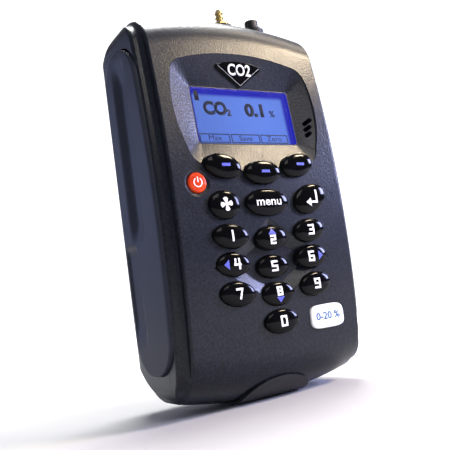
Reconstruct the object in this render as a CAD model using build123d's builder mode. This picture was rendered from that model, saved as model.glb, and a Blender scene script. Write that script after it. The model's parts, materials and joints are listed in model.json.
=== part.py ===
"""Hand-held carbon dioxide monitor, built as the separate pieces it comes apart into.

Millimetres. +Z runs up the long axis, -Y points out of the keypad face and +X is to the right
of a person who reads the display. The origin is on the ground under the middle of the foot.
"""
import os
from math import atan2, cos, degrees, sin, sqrt

from build123d import *

os.makedirs("parts", exist_ok=True)

# ---------------------------------------------------------------- driving dimensions
LENGTH = 165.0  # foot to top of the case
DEPTH = 52.5  # keypad face to back
BELT_HALF = 41.2  # half width of the raised belt that carries display and keypad
CHEEK_HALF = 45.4  # half width over the moulded cheeks beside the belt
GRIP_HALF, GRIP_SEAT = 46.8, 43.4  # half widths over the silicone side grips and under them
SEAL_THICK, SEAL_WIDE = 2.0, 0.9  # case seal in its groove
SEAL_OUTLINES = [(39.8, 9.5, 154.6), (42.9, 13.3, 148.6)]  # half width, low, high: belt and cheeks
FOOT_PROUD = 0.6  # how far the rubber foot stands below the case
WALL = 2.5  # moulded wall
PARTING_Y = -11.75  # plane where the front and rear shells meet
JOINT_GAP = 0.05  # relief between the two shells' rims

CROWN_RADIUS = 483.0  # long gentle bow of the keypad face
CROWN_HEIGHT = 74.0  # height where the face stands furthest forward
BOW_RADIUS = 185.0  # bow of the top and bottom ends, seen from the front
OUTLINE_CORNER = 8.0  # rounded corners of the case, seen from the front
BELT_ROLLS = (20.0, 18.0, 19.0, 24.0)  # roll-overs: front low, front high, back high, back low
CHEEK_ROLLS = (10.0, 11.0, 21.0, 28.0)
LEDGE = 4.6  # step from the belt's face down to the cheeks
LEDGE_HOLLOW = 2.5  # hollow corner between the belt's wall and that step
CHEEK_END, CHEEK_BACK = 2.0, 3.0  # how far the cheeks stop short of the ends and the back
CHEEK_CORNER = 9.0  # rounded rear corners of the cheeks, seen from above
BELT_EDGE, CHEEK_EDGE = 1.0, 1.5  # rounded outer edges

FACE_Y = -DEPTH / 2  # furthest forward point of the face
BACK_Y = DEPTH / 2

# ---------------------------------------------------------------- display recess
RECESS_LOW, RECESS_HIGH = 92.0, 144.2
RECESS_DEPTH = 2.8
WINDOW_HALF, WINDOW_LOW, WINDOW_HIGH = 24.4, 104.7, 129.1
LENS_THICK = 1.2

# ---------------------------------------------------------------- keypad
KEY_TRAVEL = 1.0
KEY_PROUD = 1.9  # height of a cap over the face around it
KEY_GAP = 0.25  # clearance between a cap and its hole
FLANGE_LIP = 0.45  # how far a cap's flange reaches past its hole
FLANGE_THICK = 1.1
DISH_MID, DISH_HALF_X, DISH_HALF_Z = 54.5, 28.0, 18.0
DISH_DEPTH = 2.3
FRAME_BACK = -19.35  # rear plane of the stiff frame that guides the caps
MAT_FRONT = FRAME_BACK + 0.15 + FLANGE_THICK + KEY_TRAVEL + 0.25
MAT_THICK = 1.2
BOARD_THICK = 1.6

# name: (x, z, half length, half height, turn in degrees, depth of the face around it)
KEYS = {
    "key_soft_left": (-18.4, 94.0, 8.2, 4.8, -11, -0.4),
    "key_soft_middle": (0.0, 91.1, 8.6, 4.8, 0, -0.4),
    "key_soft_right": (18.4, 94.0, 8.2, 4.8, 11, -0.4),
    "key_power": (-30.3, 87.7, 4.0, 4.0, 0, 1.3),
    "key_pump": (-20.1, 78.5, 6.8, 5.6, 0, 0.0),
    "key_menu": (0.0, 78.7, 10.2, 5.4, 0, 0.0),
    "key_enter": (22.3, 79.4, 8.8, 5.7, 22, 0.0),
    "key_1": (-19.3, 66.1, 7.9, 4.7, -6, 0.0),
    "key_2": (0.0, 64.3, 7.6, 4.7, 0, 1.0),
    "key_3": (19.3, 66.1, 7.9, 4.7, 6, 0.0),
    "key_4": (-19.4, 55.2, 7.6, 4.6, -4, 0.9),
    "key_5": (0.0, 52.9, 7.6, 4.6, 0, 2.3),
    "key_6": (19.4, 55.2, 7.9, 4.6, 4, 0.9),
    "key_7": (-19.1, 43.8, 7.9, 4.7, -6, 0.3),
    "key_8": (0.0, 41.8, 7.8, 4.6, 0, 0.8),
    "key_9": (19.1, 43.8, 7.9, 4.7, 6, 0.3),
    "key_0": (0.0, 30.9, 8.1, 4.7, 0, 0.0),
}

# ---------------------------------------------------------------- connectors and inside
PORT_Y = -4.75  # the top connectors stand in line, just behind the parting plane
BARB_X, JACK_X = 5.2, 22.6
PORT_SEAT = 164.3  # flat tops of the bosses under the connectors
BARB_TOP, JACK_TOP = 172.6, 169.3
JACK_BORE, JACK_DEPTH = 1.8, 9.0
BARB_COUNT, BARB_PITCH = 3, 2.1
SCREW_SPOTS = [(x, z) for x in (-33.0, 33.0) for z in (24.0, 139.0)]
SCREW_SEAT = 3.0  # depth plane under the case screws' heads
CELL_RADIUS, CELL_LENGTH, CELL_Y, CELL_LOW = 7.1, 49.0, 14.5, 31.0
CELL_SPOTS = [-23.1, -7.7, 7.7, 23.1]
BENCH_X, BENCH_Y, BENCH_LOW, BENCH_HIGH = -17.0, 9.0, 88.0, 140.0
PUMP_X, PUMP_Y, PUMP_LOW, PUMP_TOP = 21.0, 9.0, 100.0, 138.0
MOTOR_LOW, MOTOR_RADIUS = 116.0, 6.5
SHAFT_RADIUS, CRANK_RADIUS, CRANK_THROW = 1.0, 3.2, 0.8
FILTER_Y, FILTER_LOW, FILTER_HIGH = 3.5, 112.0, 127.0
BENCH_IN_Z, BENCH_OUT_Z, TUBE_LANE_Y = 94.0, 134.0, 13.0
TUBE_OUTER, TUBE_BORE, STUB = 2.2, 1.3, 1.25  # radii of the gas tubing and its nozzles
SCREW_RADIUS, SCREW_HEAD_RADIUS = 1.45, 2.8
MAIN_BOARD_Y, MAIN_BOARD_LOW, MAIN_BOARD_HIGH = -6.75, 14.0, 141.0
POST_SPOTS = [(x, z) for x in (-24.0, 24.0) for z in (18.0, 137.5)]
BARB_BODY, JACK_BODY = 2.4, 3.1  # radii that pass through the top of the case
VENT_X, VENT_Y, VENT_RADIUS = 11.7, 5.0, 2.6  # exhaust vent plug
REAR_LABEL_Z, REAR_LABEL = 100.0, (52.0, 34.0)
LABEL_PAD = (23.7, 29.9, 8.8, 4.9)  # x, z, half length and half height of the front label
LABEL_POCKET = 0.3
POWER_DISH_DEPTH, POWER_DISH_CURVE = 1.5, 11.0
SOUND_SLOTS = [(31.2, 114.6, 5.4), (30.7, 111.6, 4.6), (30.4, 108.8, 3.8)]  # x, z, length
SLOT_WIDE, SLOT_TURN = 1.9, 32
FOOT_ELLIPSE, FOOT_REAR_Y, FOOT_THICK = (17.0, 9.4), 12.75, 2.2
FOOT_PAD, FOOT_PAD_Y, FOOT_PAD_TALL = (27, 22), 3.0, 4.0  # flat block the monitor stands on
BOSS_RADIUS, SCREW_BOSS, REAR_BOSS = 5.2, 4.3, 5.0  # radii: connector bosses, front and rear screw bosses


def crown_y(z, inset=0.0):
    """Y of the bowed face at height z, or of the same bow set back by inset."""
    radius = CROWN_RADIUS - inset
    return FACE_Y + CROWN_RADIUS - sqrt(radius**2 - (z - CROWN_HEIGHT) ** 2)


def profile_corners(front, ends, back):
    """Corners of the case's side profile, set in by front, ends and back: (y, z), from front low."""
    low, high, rear = FOOT_PROUD + ends, LENGTH - ends, BACK_Y - back
    return [(crown_y(low, front), low), (crown_y(high, front), high), (rear, high), (rear, low)]


def side_outline(front, ends, back, rolls=()):
    """Side profile of the case in the YZ plane, its corners rounded by rolls."""
    corners = profile_corners(front, ends, back)
    middle = (FOOT_PROUD + LENGTH) / 2
    with BuildSketch(Plane.YZ) as outline:
        with BuildLine():
            ThreePointArc(corners[0], (crown_y(middle, front), middle), corners[1])
            Polyline(*corners[1:], corners[0])
        make_face()
        for (y, z), radius in zip(corners, rolls):
            fillet(outline.vertices().sort_by_distance((y, z, 0))[0], radius)
    return outline.sketch


def bowed_outline(half_width, ends, corner=0.0):
    """Front outline with straight sides, bowed ends and rounded corners, in the XZ plane."""
    sag = BOW_RADIUS - sqrt(BOW_RADIUS**2 - half_width**2)
    low, high = FOOT_PROUD + ends, LENGTH - ends
    with BuildSketch(Plane.XZ) as outline:
        with BuildLine():
            ThreePointArc((-half_width, high - sag), (0, high), (half_width, high - sag))
            Line((half_width, high - sag), (half_width, low + sag))
            ThreePointArc((half_width, low + sag), (0, low), (-half_width, low + sag))
            Line((-half_width, low + sag), (-half_width, high - sag))
        make_face()
        if corner:
            fillet(outline.vertices(), corner)
    return outline.sketch


def rolled_block(half_width, front, ends, back, rolls):
    """Block between the case's front and back profiles whose bowed end edges are rolled over."""
    with BuildPart() as block:
        extrude(side_outline(front, ends, back), amount=half_width, both=True)
        extrude(bowed_outline(half_width, ends), amount=DEPTH, both=True, mode=Mode.INTERSECT)
        for (y, z), radius in zip(profile_corners(front, ends, back), rolls):
            fillet(block.edges().sort_by_distance((0, y, z))[0], radius)
    return block.part


def face_plane(low, high):
    """Plane on the chord of the face between two heights, looking forward, with its y axis up."""
    lean = atan2(crown_y(high) - crown_y(low), high - low)
    origin = (0, (crown_y(low) + crown_y(high)) / 2, (low + high) / 2)
    return Plane(origin=origin, x_dir=(1, 0, 0), z_dir=(0, -cos(lean), sin(lean)))


def outward(y):
    """XZ plane at depth y whose normal points forward, out of the face."""
    return Plane(origin=(0, y, 0), x_dir=(1, 0, 0), z_dir=(0, -1, 0))


def key_ellipse(x, z, length, height, turn, extra=0.0):
    """Ellipse of one key in the current sketch, grown by extra."""
    with Locations((x, z)):
        Ellipse(length + extra, height + extra, rotation=turn)


# ---------------------------------------------------------------- outer form of the closed case
with BuildPart() as belt:
    add(rolled_block(BELT_HALF, 0, 0, 0, BELT_ROLLS))
    fillet(belt.faces().filter_by(Axis.X).edges(), BELT_EDGE)

with BuildPart() as outer:
    add(rolled_block(CHEEK_HALF, LEDGE, CHEEK_END, CHEEK_BACK, CHEEK_ROLLS))
    fillet(outer.faces().filter_by(Axis.X).edges(), CHEEK_EDGE)
    with BuildSketch(Plane.XY) as plan:
        with Locations((0, -CHEEK_BACK / 2)):
            Rectangle(2 * CHEEK_HALF, DEPTH - CHEEK_BACK)
        fillet(plan.vertices().group_by(Axis.Y)[-1], CHEEK_CORNER)
    extrude(amount=LENGTH, mode=Mode.INTERSECT)
    add(belt.part)
    extrude(bowed_outline(CHEEK_HALF, 0, OUTLINE_CORNER), amount=DEPTH, both=True, mode=Mode.INTERSECT)
    seams = outer.edges().filter_by(lambda e: abs(abs(e.center().X) - BELT_HALF) < 0.05)
    inner = seams.filter_by(lambda e: CHEEK_END + 20 < e.center().Z < 120 and e.center().Y < PARTING_Y)
    fillet(inner.sort_by(Axis.Y)[-2:], LEDGE_HOLLOW)

with BuildPart() as hollow:
    extrude(side_outline(WALL, 9.3, WALL, (14, 14, 16, 16)), amount=BELT_HALF - WALL, both=True)
    cheek_hollow = side_outline(LEDGE + WALL, 11.0, CHEEK_BACK + WALL + 1, (11, 10, 21, 22))
    extrude(cheek_hollow, amount=CHEEK_HALF - 4.2, both=True)

with BuildPart() as foot:
    extrude(side_outline(-FOOT_PROUD, -FOOT_PROUD, 0, BELT_ROLLS), amount=18, both=True)
    with BuildSketch(outward(FOOT_REAR_Y)):
        Ellipse(*FOOT_ELLIPSE)
    extrude(amount=DEPTH, mode=Mode.INTERSECT)
    inner_rolls = [radius - FOOT_THICK for radius in BELT_ROLLS]
    foot_bed = side_outline(FOOT_THICK, FOOT_THICK, FOOT_THICK, inner_rolls)
    extrude(foot_bed, amount=20, both=True, mode=Mode.SUBTRACT)
    with BuildSketch(Plane.XY):
        with Locations((0, FOOT_PAD_Y)):
            RectangleRounded(*FOOT_PAD, 4)
    extrude(amount=FOOT_PAD_TALL)


def side_grip(side):
    """Silicone insert let into one cheek; side is -1 for the left and 1 for the right."""
    with BuildPart() as grip:
        extrude(side_outline(5.4, 16.0, 12.75, (14.5, 14, 14, 14.5)), amount=side * GRIP_HALF)
        fillet(grip.faces().sort_by(Axis.X)[0 if side < 0 else -1].edges(), 1.4)
        split(bisect_by=Plane.YZ.offset(side * GRIP_SEAT), keep=Keep.TOP if side > 0 else Keep.BOTTOM)
    return grip.part


left_grip = side_grip(-1)
right_grip = side_grip(1)

# Seal that runs round inside the rims of the two shells: (half width, low, high) of its two outlines.
with BuildPart() as case_seal:
    with BuildSketch(Plane.XZ.offset(-PARTING_Y - SEAL_THICK / 2)):
        for inset, mode in ((0, Mode.ADD), (SEAL_WIDE, Mode.SUBTRACT)):
            for half_width, low, high in SEAL_OUTLINES:
                with Locations((0, (low + high) / 2)):
                    Rectangle(2 * (half_width - inset), high - low - 2 * inset, mode=mode)
    extrude(amount=SEAL_THICK)

# ---------------------------------------------------------------- hollows in the keypad face
recess_plane = face_plane(RECESS_LOW, RECESS_HIGH)
recess_mid = recess_plane.origin.Z
floor_plane = recess_plane.offset(-RECESS_DEPTH)
lens_back = recess_plane.offset(-RECESS_DEPTH - LENS_THICK)

with BuildPart() as recess:
    with BuildSketch(recess_plane) as recess_rim:
        with BuildLine():
            top, low = RECESS_HIGH - recess_mid, RECESS_LOW - recess_mid
            ThreePointArc((-27.5, top - 4.2), (0, top), (27.5, top - 4.2))
            ThreePointArc((27.5, top - 4.2), (31.4, top - 6.3), (33.4, top - 10.5))
            ThreePointArc((33.4, top - 10.5), (34.9, 4.0), (31.6, low + 10.0))
            ThreePointArc((31.6, low + 10.0), (29.2, low + 4.8), (24.5, low + 2.6))
            ThreePointArc((24.5, low + 2.6), (0, low), (-24.5, low + 2.6))
            ThreePointArc((-24.5, low + 2.6), (-29.2, low + 4.8), (-31.6, low + 10.0))
            ThreePointArc((-31.6, low + 10.0), (-34.9, 4.0), (-33.4, top - 10.5))
            ThreePointArc((-33.4, top - 10.5), (-31.4, top - 6.3), (-27.5, top - 4.2))
        make_face()
    with BuildSketch(floor_plane) as recess_floor:
        with Locations((0, (WINDOW_LOW + WINDOW_HIGH) / 2 - recess_mid)):
            RectangleRounded(2 * WINDOW_HALF + 0.8, WINDOW_HIGH - WINDOW_LOW + 0.8, 1.2)
    loft(ruled=True)
    extrude(recess_rim.sketch, amount=4, taper=-40)

with BuildPart() as dish:
    dish_plane = face_plane(DISH_MID - DISH_HALF_Z, DISH_MID + DISH_HALF_Z)
    outlines = []
    for scale, level in ((1.0, 0), (0.66, -DISH_DEPTH)):
        tip_x, tip_z = scale * DISH_HALF_X, scale * DISH_HALF_Z
        waist = (0.47 * tip_x, 0.47 * tip_z)
        with BuildSketch(dish_plane.offset(level)) as star:
            with BuildLine():
                ThreePointArc((tip_x, 0), waist, (0, tip_z))
                ThreePointArc((0, tip_z), (-waist[0], waist[1]), (-tip_x, 0))
                ThreePointArc((-tip_x, 0), (-waist[0], -waist[1]), (0, -tip_z))
                ThreePointArc((0, -tip_z), (waist[0], -waist[1]), (tip_x, 0))
            make_face()
        outlines.append(star.sketch)
    loft(outlines, ruled=True)
    extrude(outlines[0], amount=3, taper=-35)

# Shield-shaped badge that lies on the sloping wall above the window.
badge_lean = atan2(RECESS_DEPTH, RECESS_HIGH - WINDOW_HIGH - 0.4)
badge_axis = recess_plane.rotated((degrees(badge_lean), 0, 0))
badge_plane = Plane(
    origin=recess_plane.from_local_coords((0, WINDOW_HIGH + 0.4 - recess_mid, -RECESS_DEPTH)),
    x_dir=(1, 0, 0),
    z_dir=badge_axis.z_dir,
)
with BuildPart() as badge:
    with BuildSketch(badge_plane.offset(-0.6)):
        with BuildLine():
            ThreePointArc((-12.4, 9.2), (0, 11.6), (12.4, 9.2))
            Line((12.4, 9.2), (0, 0.3))
            Line((0, 0.3), (-12.4, 9.2))
        make_face()
    extrude(amount=1.4)
    fillet(badge.edges().filter_by(lambda e: e.length < 1.6), 0.9)
    chamfer(badge.faces().sort_by(Axis.Y)[0].edges(), 0.3)

# ---------------------------------------------------------------- front shell
label_x, label_z, label_half_x, label_half_z = LABEL_PAD
with BuildPart() as frames:
    with BuildSketch(outward(FRAME_BACK)):
        with Locations((0, 61.0)):
            RectangleRounded(76, 79, 5)
    extrude(amount=12)
    with BuildSketch(lens_back):
        with Locations((0, (RECESS_LOW + RECESS_HIGH) / 2 - recess_mid)):
            RectangleRounded(74, RECESS_HIGH - RECESS_LOW + 5, 5)
    extrude(amount=12)
    add(outer.part, mode=Mode.INTERSECT)

with BuildPart() as posts:
    with BuildSketch(outward(MAIN_BOARD_Y)):
        with Locations(POST_SPOTS):
            Circle(2.6)
    extrude(amount=15)
    add(outer.part, mode=Mode.INTERSECT)
    with BuildSketch(outward(MAIN_BOARD_Y)):
        with Locations(POST_SPOTS):
            Circle(1.05)
    extrude(amount=7, mode=Mode.SUBTRACT)

with BuildPart() as bosses:
    with BuildSketch(outward(PARTING_Y - JOINT_GAP)):
        with Locations(SCREW_SPOTS):
            Circle(SCREW_BOSS)
    extrude(amount=15)
    add(outer.part, mode=Mode.INTERSECT)

with BuildPart() as front_shell:
    add(outer.part)
    add(hollow.part, mode=Mode.SUBTRACT)
    split(bisect_by=Plane.XZ.offset(-PARTING_Y + JOINT_GAP), keep=Keep.TOP)
    add(frames.part)
    add(bosses.part)
    with BuildSketch(outward(PARTING_Y)):
        with Locations(SCREW_SPOTS):
            Circle(SCREW_RADIUS + 0.05)
    extrude(amount=7.0, mode=Mode.SUBTRACT)
    add(posts.part)
    add(recess.part, mode=Mode.SUBTRACT)
    add(dish.part, mode=Mode.SUBTRACT)
    with BuildSketch(lens_back.offset(-5)):
        with Locations((0, (WINDOW_LOW + WINDOW_HIGH) / 2 - recess_mid)):
            RectangleRounded(2 * WINDOW_HALF, WINDOW_HIGH - WINDOW_LOW, 1.0)
    extrude(amount=12, mode=Mode.SUBTRACT)
    for x, z, length, height, turn, depth in KEYS.values():
        with BuildSketch(outward(PARTING_Y)):
            key_ellipse(x, z, length, height, turn, KEY_GAP)
        extrude(amount=DEPTH, mode=Mode.SUBTRACT)
    power_x, power_z = KEYS["key_power"][:2]
    with Locations((power_x, crown_y(power_z) + POWER_DISH_DEPTH - POWER_DISH_CURVE, power_z)):
        Sphere(POWER_DISH_CURVE, mode=Mode.SUBTRACT)
    for x, z, size in SOUND_SLOTS:
        with BuildSketch(outward(PARTING_Y)):
            with Locations((x, z)):
                SlotOverall(size, SLOT_WIDE, rotation=SLOT_TURN)
        extrude(amount=DEPTH, mode=Mode.SUBTRACT)
    with BuildSketch(outward(crown_y(label_z) + LABEL_POCKET)):
        with Locations((label_x, label_z)):
            RectangleRounded(2 * label_half_x + 0.2, 2 * label_half_z + 0.2, 2.6)
    extrude(amount=5, mode=Mode.SUBTRACT)
    for part in (case_seal.part, foot.part, left_grip, right_grip, badge.part):
        add(part, mode=Mode.SUBTRACT)

# ---------------------------------------------------------------- rear shell
with BuildPart() as rear_shell:
    add(outer.part)
    add(hollow.part, mode=Mode.SUBTRACT)
    split(bisect_by=Plane.XZ.offset(-PARTING_Y - JOINT_GAP), keep=Keep.BOTTOM)
    with BuildSketch(outward(PARTING_Y + JOINT_GAP).offset(-DEPTH + 16)):
        with Locations(SCREW_SPOTS):
            Circle(REAR_BOSS)
    extrude(amount=DEPTH - 16)
    with BuildSketch(Plane.XY.offset(PORT_SEAT)):
        with Locations((BARB_X, PORT_Y), (JACK_X, PORT_Y)):
            Circle(BOSS_RADIUS)
    extrude(amount=-9)
    with BuildSketch(Plane.XY.offset(PORT_SEAT)):
        with Locations((BARB_X, PORT_Y), (JACK_X, PORT_Y)):
            Circle(BOSS_RADIUS)
    extrude(amount=5, mode=Mode.SUBTRACT)
    with BuildSketch(Plane.XZ.offset(-BACK_Y - 1)):
        with Locations(SCREW_SPOTS):
            Circle(SCREW_HEAD_RADIUS + 0.3)
    extrude(amount=BACK_Y + 1 - SCREW_SEAT, mode=Mode.SUBTRACT)
    with BuildSketch(Plane.XZ.offset(-BACK_Y)):
        with Locations(SCREW_SPOTS):
            Circle(SCREW_RADIUS + 0.2)
    extrude(amount=DEPTH, mode=Mode.SUBTRACT)
    with BuildSketch(Plane.XZ.offset(-BACK_Y)):
        with Locations((0, REAR_LABEL_Z)):
            RectangleRounded(REAR_LABEL[0] + 0.2, REAR_LABEL[1] + 0.2, 3)
    extrude(amount=0.5, mode=Mode.SUBTRACT)
    with BuildSketch(Plane.XY.offset(LENGTH + 5)):
        with Locations((BARB_X, PORT_Y)):
            Circle(BARB_BODY)
        with Locations((JACK_X, PORT_Y)):
            Circle(JACK_BODY)
        with Locations((VENT_X, VENT_Y)):
            Circle(VENT_RADIUS)
    extrude(amount=-16, mode=Mode.SUBTRACT)
    for part in (case_seal.part, foot.part, left_grip, right_grip):
        add(part, mode=Mode.SUBTRACT)


def save(part, name):
    """Label one finished piece and write it."""
    part.label = name
    export_step(part, f"parts/{name}.step")


save(front_shell.part, "front_shell")
save(rear_shell.part, "rear_shell")
save(case_seal.part, "case_seal")
save(foot.part, "foot")
save(left_grip, "left_grip")
save(right_grip, "right_grip")
save(badge.part, "badge")

# ---------------------------------------------------------------- display
window_mid = (WINDOW_LOW + WINDOW_HIGH) / 2 - recess_mid
window_size = (2 * WINDOW_HALF, WINDOW_HIGH - WINDOW_LOW)
GLASS_BACK, LIGHT_BACK, BOARD_BACK = 2.1, 4.3, 5.9  # depths behind the window
BEZEL_SIZE = (55.2, 31.0)
GLASS_SIZE = (51.6, 27.4)

with BuildPart() as display_window:
    with BuildSketch(lens_back):
        with Locations((0, window_mid)):
            RectangleRounded(window_size[0] - 0.04, window_size[1] - 0.04, 1.0)
    extrude(amount=LENS_THICK)
save(display_window.part, "display_window")

with BuildPart() as display_glass:
    with BuildSketch(lens_back.offset(-GLASS_BACK)):
        with Locations((0, window_mid)):
            Rectangle(*GLASS_SIZE)
    extrude(amount=GLASS_BACK - 0.1)
save(display_glass.part, "display_glass")

with BuildPart() as display_backlight:
    with BuildSketch(lens_back.offset(-LIGHT_BACK)):
        with Locations((0, window_mid)):
            Rectangle(*GLASS_SIZE)
    extrude(amount=LIGHT_BACK - GLASS_BACK)
save(display_backlight.part, "display_backlight")

with BuildPart() as display_bezel:
    with BuildSketch(lens_back.offset(-LIGHT_BACK)):
        with Locations((0, window_mid)):
            RectangleRounded(*BEZEL_SIZE, 1)
            Rectangle(GLASS_SIZE[0] + 0.1, GLASS_SIZE[1] + 0.1, mode=Mode.SUBTRACT)
    extrude(amount=LIGHT_BACK - 0.05)
save(display_bezel.part, "display_bezel")

with BuildPart() as display_board:
    with BuildSketch(lens_back.offset(-BOARD_BACK)):
        with Locations((0, window_mid)):
            Rectangle(62, 31.4)
    extrude(amount=BOARD_BACK - LIGHT_BACK)
save(display_board.part, "display_board")

with BuildPart() as sounder:
    with BuildSketch(lens_back.offset(-0.05)):
        with Locations((31.2, 111.6 - recess_mid)):
            Circle(3.4)
    extrude(amount=-3)
save(sounder.part, "sounder")

# ---------------------------------------------------------------- keys
for name, (x, z, length, height, turn, depth) in KEYS.items():
    proud = crown_y(z) + depth - KEY_PROUD
    with BuildPart() as cap:
        with BuildSketch(outward(FRAME_BACK + 0.15)):
            key_ellipse(x, z, length, height, turn)
        extrude(amount=FRAME_BACK + 0.15 - proud)
        fillet(cap.faces().sort_by(Axis.Y)[0].edges(), 1.3)
        with BuildSketch(outward(FRAME_BACK + 0.15 + FLANGE_THICK)):
            key_ellipse(x, z, length, height, turn, KEY_GAP + FLANGE_LIP)
        extrude(amount=FLANGE_THICK)
    save(cap.part, name)

with BuildPart() as keypad_mat:
    with BuildSketch(outward(MAT_FRONT + MAT_THICK)):
        with Locations((0, 61.0)):
            RectangleRounded(72, 77, 4)
        with Locations([(x, SCREW_SPOTS[0][1]) for x in (-33.0, 33.0)]):
            Rectangle(10.4, 10.4, mode=Mode.SUBTRACT)
    extrude(amount=MAT_THICK)
save(keypad_mat.part, "keypad_mat")

with BuildPart() as keypad_board:
    with BuildSketch(outward(MAT_FRONT + MAT_THICK + BOARD_THICK)):
        with Locations((0, 61.0)):
            RectangleRounded(72, 77, 2)
        with Locations([(x, SCREW_SPOTS[0][1]) for x in (-33.0, 33.0)]):
            Rectangle(10.4, 10.4, mode=Mode.SUBTRACT)
    extrude(amount=BOARD_THICK)
save(keypad_board.part, "keypad_board")

# ---------------------------------------------------------------- labels
with BuildPart() as front_label:
    with BuildSketch(outward(crown_y(label_z) + LABEL_POCKET)):
        with Locations((label_x, label_z)):
            RectangleRounded(2 * label_half_x, 2 * label_half_z, 2.5)
    extrude(amount=LABEL_POCKET + 0.7)
    chamfer(front_label.faces().sort_by(Axis.Y)[0].edges(), 0.25)
save(front_label.part, "front_label")

with BuildPart() as rear_label:
    with BuildSketch(outward(BACK_Y)):
        with Locations((0, REAR_LABEL_Z)):
            RectangleRounded(*REAR_LABEL, 3)
    extrude(amount=0.5)
save(rear_label.part, "rear_label")

# ---------------------------------------------------------------- circuit board, battery and sensor
with BuildPart() as main_board:
    with BuildSketch(outward(MAIN_BOARD_Y + BOARD_THICK)):
        with Locations((0, (MAIN_BOARD_LOW + MAIN_BOARD_HIGH) / 2)):
            RectangleRounded(54, MAIN_BOARD_HIGH - MAIN_BOARD_LOW, 2)
        with Locations(POST_SPOTS):
            Circle(1.2, mode=Mode.SUBTRACT)
    extrude(amount=BOARD_THICK)
    with BuildSketch(outward(MAIN_BOARD_Y)):
        with Locations((-12, 60), (12, 60)):
            Rectangle(14, 14)
        with Locations((0, 90)):
            Rectangle(30, 6)
    extrude(amount=1.4)
save(main_board.part, "main_board")

with BuildPart() as battery_cells:
    with BuildSketch(Plane.XY.offset(CELL_LOW)):
        with Locations([(x, CELL_Y) for x in CELL_SPOTS]):
            Circle(CELL_RADIUS)
    extrude(amount=CELL_LENGTH)
    with BuildSketch(Plane.XY.offset(CELL_LOW + CELL_LENGTH)):
        with Locations([(x, CELL_Y) for x in CELL_SPOTS]):
            Circle(2.6)
    extrude(amount=1.0)
save(battery_cells.part, "battery_cells")

with BuildPart() as battery_tray:
    with BuildSketch(Plane.XY.offset(CELL_LOW - 1.6)):
        with Locations((0, CELL_Y)):
            Rectangle(64, 18)
    extrude(amount=CELL_LENGTH + 4.4)
    with BuildSketch(Plane.XY.offset(CELL_LOW - 0.1)):
        with Locations([(x, CELL_Y) for x in CELL_SPOTS]):
            Circle(CELL_RADIUS + 0.2)
            with Locations((0, -CELL_RADIUS)):
                Rectangle(2 * CELL_RADIUS, 2 * CELL_RADIUS)
    extrude(amount=CELL_LENGTH + 1.3, mode=Mode.SUBTRACT)
save(battery_tray.part, "battery_tray")

with BuildPart() as gas_bench:
    with BuildSketch(Plane.XY.offset(BENCH_LOW)):
        with Locations((BENCH_X, BENCH_Y)):
            Rectangle(18, 16)
            Circle(4.0, mode=Mode.SUBTRACT)
    extrude(amount=BENCH_HIGH - BENCH_LOW)
    for y, z in ((FILTER_Y, BENCH_IN_Z), (TUBE_LANE_Y, BENCH_OUT_Z)):
        with BuildSketch(Plane.YZ.offset(BENCH_X + 8)):
            with Locations((y, z)):
                Circle(STUB)
        extrude(amount=6)
save(gas_bench.part, "gas_bench")

for name, low in (("infrared_lamp", BENCH_LOW - 4.5), ("infrared_detector", BENCH_HIGH + 0.02)):
    with BuildPart() as can:
        with BuildSketch(Plane.XY.offset(low)):
            with Locations((BENCH_X, BENCH_Y)):
                Circle(4.7)
        extrude(amount=4.48)
        fillet(can.edges().filter_by(GeomType.CIRCLE), 0.4)
    save(can.part, name)

# ---------------------------------------------------------------- sample pump
with BuildPart() as pump_body:
    with BuildSketch(Plane.XY.offset(PUMP_LOW)):
        with Locations((PUMP_X, PUMP_Y)):
            Rectangle(14, 16)
    extrude(amount=MOTOR_LOW - PUMP_LOW)
    with BuildSketch(Plane.XY.offset(PUMP_LOW + 3)):
        with Locations((PUMP_X, PUMP_Y)):
            Circle(5.6)
    extrude(amount=DEPTH, mode=Mode.SUBTRACT)
save(pump_body.part, "pump_body")

with BuildPart() as pump_valves:
    with BuildSketch(Plane.XY.offset(PUMP_LOW - 10)):
        with Locations((PUMP_X - 2.25, PUMP_Y)):
            Rectangle(18.5, 16)
    extrude(amount=10)
    with BuildSketch(Plane.XY.offset(PUMP_LOW)):
        with Locations((VENT_X, VENT_Y)):
            Circle(STUB)
    extrude(amount=5)
    with BuildSketch(Plane.YZ.offset(PUMP_X - 11)):
        with Locations((TUBE_LANE_Y, PUMP_LOW - 5)):
            Circle(STUB)
    extrude(amount=-5)
save(pump_valves.part, "pump_valves")

with BuildPart() as pump_motor:
    with BuildSketch(Plane.XY.offset(MOTOR_LOW)):
        with Locations((PUMP_X, PUMP_Y)):
            Circle(MOTOR_RADIUS)
    extrude(amount=PUMP_TOP - MOTOR_LOW)
    fillet(pump_motor.edges().group_by(Axis.Z)[-1], 0.8)
    with BuildSketch(Plane.XY.offset(MOTOR_LOW)):
        with Locations((PUMP_X, PUMP_Y)):
            Circle(SHAFT_RADIUS + 0.05)
    extrude(amount=14, mode=Mode.SUBTRACT)
save(pump_motor.part, "pump_motor")

with BuildPart() as pump_crank:
    with BuildSketch(Plane.XY.offset(PUMP_LOW + 5)):
        with Locations((PUMP_X, PUMP_Y)):
            Circle(SHAFT_RADIUS)
    extrude(amount=24.5)
    with BuildSketch(Plane.XY.offset(PUMP_LOW + 6)):
        with Locations((PUMP_X + CRANK_THROW, PUMP_Y)):
            Circle(CRANK_RADIUS)
    extrude(amount=5)
save(pump_crank.part, "pump_crank")

with BuildPart() as pump_bracket:
    with BuildSketch(Plane.XY.offset(PUMP_LOW - 6)):
        with Locations((PUMP_X, PUMP_Y + 11.35)):
            Rectangle(14, 6.6)
    extrude(amount=MOTOR_LOW - PUMP_LOW + 4)
save(pump_bracket.part, "pump_bracket")

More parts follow.
